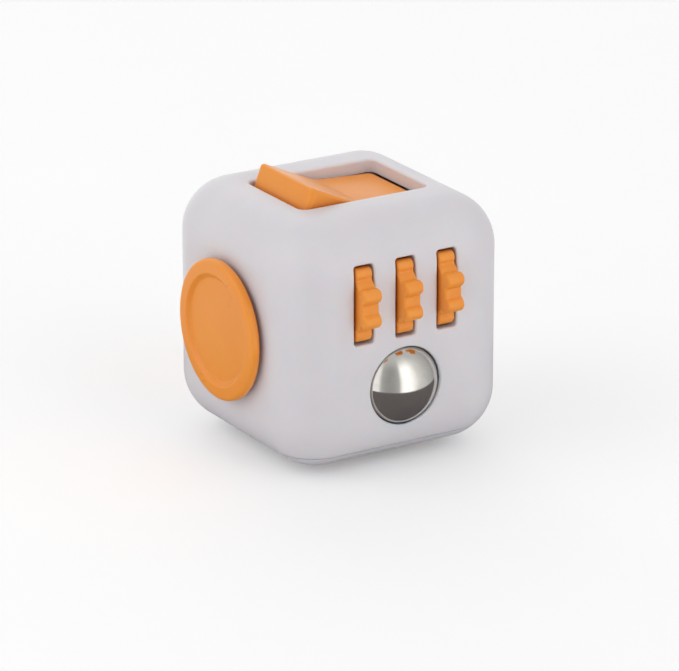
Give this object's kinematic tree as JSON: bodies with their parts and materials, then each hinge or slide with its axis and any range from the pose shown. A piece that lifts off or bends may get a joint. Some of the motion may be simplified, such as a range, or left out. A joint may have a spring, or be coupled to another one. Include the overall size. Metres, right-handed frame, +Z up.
{
  "type": "fidget cube",
  "caption": "Palm-sized desk toy: a rounded cube with gears, a ball, a joystick pad, a rocker, a dial, push buttons and a thumb hollow on its faces.",
  "frame": {"origin": "centre of the plane the cube rests on, which is the tip of the centre push button", "axes": "+Z up through the rocker's face; -Y out of the face with the gears and the ball; -X out of the joystick's face"},
  "size_m": [0.0349, 0.0373, 0.0364],
  "materials": {
    "body_white": "fine satin moulding",
    "accent_orange": "semi-gloss moulding",
    "ball_steel": "polished",
    "pin_steel": "ground",
    "spring_steel": "rolled strip",
    "screw_steel": "zinc plated",
    "inner_plastic": "as moulded",
    "slick_plastic": "smooth",
    "silicone": "soft"
  },
  "bodies": {
    "cube_body": {"main_shell": "body_white", "bottom_cover": "body_white", "button_board": "inner_plastic", "button_board_screws": "screw_steel", "click_dome_centre": "spring_steel", "click_dome_front": "spring_steel", "click_dome_rear": "spring_steel", "silent_pad_front": "silicone", "silent_pad_rear": "silicone", "gear_axle": "pin_steel", "gear_bracket": "inner_plastic", "gear_bracket_screws": "screw_steel", "gear_click_spring": "spring_steel", "ball_housing": "inner_plastic", "ball_housing_screws": "screw_steel", "ball_dome": "spring_steel", "joystick_cushion": "silicone", "rocker_pin": "pin_steel", "rocker_spring": "spring_steel", "rocker_spring_screws": "screw_steel"},
    "gear_left": {"gear_left": "accent_orange"},
    "gear_middle": {"gear_middle": "accent_orange"},
    "gear_right": {"gear_right": "accent_orange"},
    "ball_carrier": {"ball_collar": "body_white", "ball_cup": "inner_plastic"},
    "ball_washer": {"ball_washer": "slick_plastic"},
    "ball": {"ball": "ball_steel"},
    "joystick_slider": {"joystick_slider": "inner_plastic"},
    "joystick_pad": {"joystick_pad": "accent_orange", "joystick_retainer": "inner_plastic", "joystick_screw": "screw_steel"},
    "rocker": {"rocker": "accent_orange"},
    "dial": {"dial": "accent_orange", "dial_washer": "spring_steel", "dial_retainer": "inner_plastic", "dial_screw": "screw_steel"},
    "button_centre": {"button_centre": "accent_orange"},
    "button_front_left": {"button_front_left": "accent_orange"},
    "button_front_right": {"button_front_right": "accent_orange"},
    "button_rear_left": {"button_rear_left": "accent_orange"},
    "button_rear_right": {"button_rear_right": "accent_orange"}
  },
  "joints": [
    {"name": "gear_left_spin", "type": "hinge", "parent": "cube_body", "child": "gear_left", "pos_m": [-0.00615, -0.0139, 0.0235], "axis": [1, 0, 0], "continuous": true, "deforming": ["gear_click_spring"]},
    {"name": "gear_middle_spin", "type": "hinge", "parent": "cube_body", "child": "gear_middle", "pos_m": [0, -0.0139, 0.0235], "axis": [1, 0, 0], "continuous": true},
    {"name": "gear_right_spin", "type": "hinge", "parent": "cube_body", "child": "gear_right", "pos_m": [0.00615, -0.0139, 0.0235], "axis": [1, 0, 0], "continuous": true},
    {"name": "ball_click", "type": "slide", "parent": "cube_body", "child": "ball_carrier", "axis": [0, 1, 0], "range_m": [0, 0.0007], "stiffness_N_per_m": 800, "springref_m": -0.0005, "deforming": ["ball_dome"]},
    {"name": "ball_swivel", "type": "hinge", "parent": "ball_carrier", "child": "ball_washer", "pos_m": [0, -0.0129, 0.01164], "axis": [0, 1, 0], "continuous": true},
    {"name": "ball_roll", "type": "hinge", "parent": "ball_washer", "child": "ball", "pos_m": [0, -0.0129, 0.01164], "axis": [1, 0, 0], "continuous": true},
    {"name": "joystick_glide_sideways", "type": "slide", "parent": "cube_body", "child": "joystick_slider", "axis": [0, 1, 0], "range_m": [-0.0015, 0.0015], "stiffness_N_per_m": 150, "deforming": ["joystick_cushion"]},
    {"name": "joystick_glide_upright", "type": "slide", "parent": "joystick_slider", "child": "joystick_pad", "axis": [0, 0, 1], "range_m": [-0.0015, 0.0015], "stiffness_N_per_m": 150},
    {"name": "rocker_flip", "type": "hinge", "parent": "cube_body", "child": "rocker", "pos_m": [0, 0, 0.0314], "axis": [0, -1, 0], "range_deg": [0, 28], "deforming": ["rocker_spring"]},
    {"name": "dial_spin", "type": "hinge", "parent": "cube_body", "child": "dial", "pos_m": [0, 0.015, 0.0175], "axis": [0, 1, 0], "continuous": true},
    {"name": "button_centre_press", "type": "slide", "parent": "cube_body", "child": "button_centre", "axis": [0, 0, 1], "range_m": [0, 0.0008], "stiffness_N_per_m": 50, "springref_m": -0.0005, "deforming": ["click_dome_centre"]},
    {"name": "button_front_left_press", "type": "slide", "parent": "cube_body", "child": "button_front_left", "axis": [0, 0, 1], "range_m": [0, 0.0008], "stiffness_N_per_m": 50, "springref_m": -0.0005, "deforming": ["click_dome_front"]},
    {"name": "button_front_right_press", "type": "slide", "parent": "cube_body", "child": "button_front_right", "axis": [0, 0, 1], "range_m": [0, 0.0008], "stiffness_N_per_m": 50, "springref_m": -0.0005, "deforming": ["silent_pad_front"]},
    {"name": "button_rear_left_press", "type": "slide", "parent": "cube_body", "child": "button_rear_left", "axis": [0, 0, 1], "range_m": [0, 0.0008], "stiffness_N_per_m": 50, "springref_m": -0.0005, "deforming": ["silent_pad_rear"]},
    {"name": "button_rear_right_press", "type": "slide", "parent": "cube_body", "child": "button_rear_right", "axis": [0, 0, 1], "range_m": [0, 0.0008], "stiffness_N_per_m": 50, "springref_m": -0.0005, "deforming": ["click_dome_rear"]}
  ]
}
